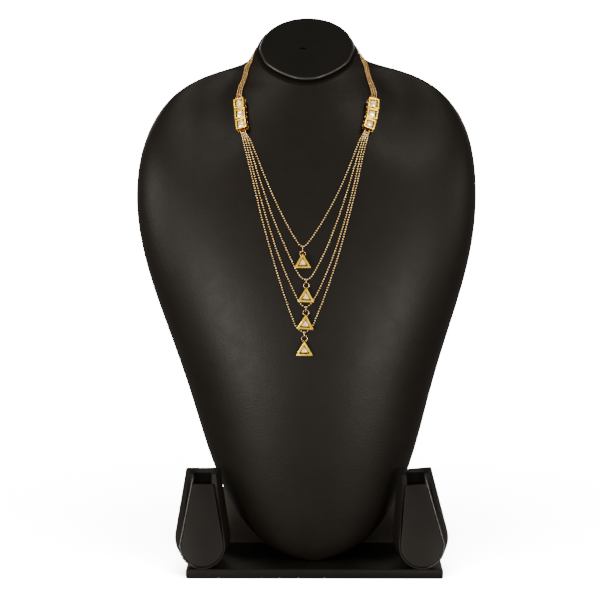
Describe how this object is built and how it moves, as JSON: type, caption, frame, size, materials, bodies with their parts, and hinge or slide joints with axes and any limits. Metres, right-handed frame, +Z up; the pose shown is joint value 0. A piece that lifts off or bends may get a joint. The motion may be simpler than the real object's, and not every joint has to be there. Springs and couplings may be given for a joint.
{
  "type": "layered necklace on neck bust",
  "caption": "Layered necklace of fine bead strands with triangular stone-set drops and side stations of square stones, worn by a black leatherette neck bust with a base and earring rests.",
  "frame": {"origin": "centre of the underside of the base plank", "axes": "+Z up, -Y towards the front of the bust, +X to the right of someone facing it"},
  "size_m": [0.249, 0.1209, 0.3986],
  "materials": {
    "leatherette": "satin, fine grain",
    "base_cover": "satin, fine grain",
    "rest_cover": "satin, fine grain",
    "bead_gold": "polished",
    "wire": "satin",
    "setting_gold": "polished",
    "wire_gold": "polished",
    "stone": "clear, foil-backed"
  },
  "bodies": {
    "root": {"base_plank": "base_cover", "back_panel": "base_cover", "neck_bust": "leatherette", "neck_cap": "leatherette", "earring_rest_left": "rest_cover", "earring_rest_right": "rest_cover", "rest_plate_left": "rest_cover", "rest_plate_right": "rest_cover", "strand_1": "bead_gold", "strand_1_wire": "wire", "strand_2": "bead_gold", "strand_2_wire": "wire", "strand_3": "bead_gold", "strand_4": "bead_gold", "drop_1": "setting_gold", "drop_2": "setting_gold", "drop_3": "setting_gold", "drop_4": "setting_gold", "drop_1_stone": "stone", "drop_2_stone": "stone", "drop_3_stone": "stone", "drop_4_stone": "stone", "drop_1_ring": "wire_gold", "drop_2_ring": "wire_gold", "drop_3_ring": "wire_gold", "drop_4_ring": "wire_gold", "drop_1_link": "wire_gold", "drop_2_link": "wire_gold", "drop_3_link": "wire_gold", "drop_4_link": "wire_gold", "cell_left_1": "setting_gold", "cell_left_2": "setting_gold", "cell_left_3": "setting_gold", "cell_right_1": "setting_gold", "cell_right_2": "setting_gold", "cell_right_3": "setting_gold", "cell_left_1_stone": "stone", "cell_left_2_stone": "stone", "cell_left_3_stone": "stone", "cell_right_1_stone": "stone", "cell_right_2_stone": "stone", "cell_right_3_stone": "stone", "cell_rods_left": "wire_gold", "cell_rods_right": "wire_gold", "neck_chain_left_1": "bead_gold", "neck_chain_left_2": "bead_gold", "neck_chain_left_3": "bead_gold", "neck_chain_right_1": "bead_gold", "neck_chain_right_2": "bead_gold", "neck_chain_right_3": "bead_gold", "chain_end_left": "wire_gold", "chain_end_right": "wire_gold", "clasp": "wire_gold"}
  },
  "joints": []
}
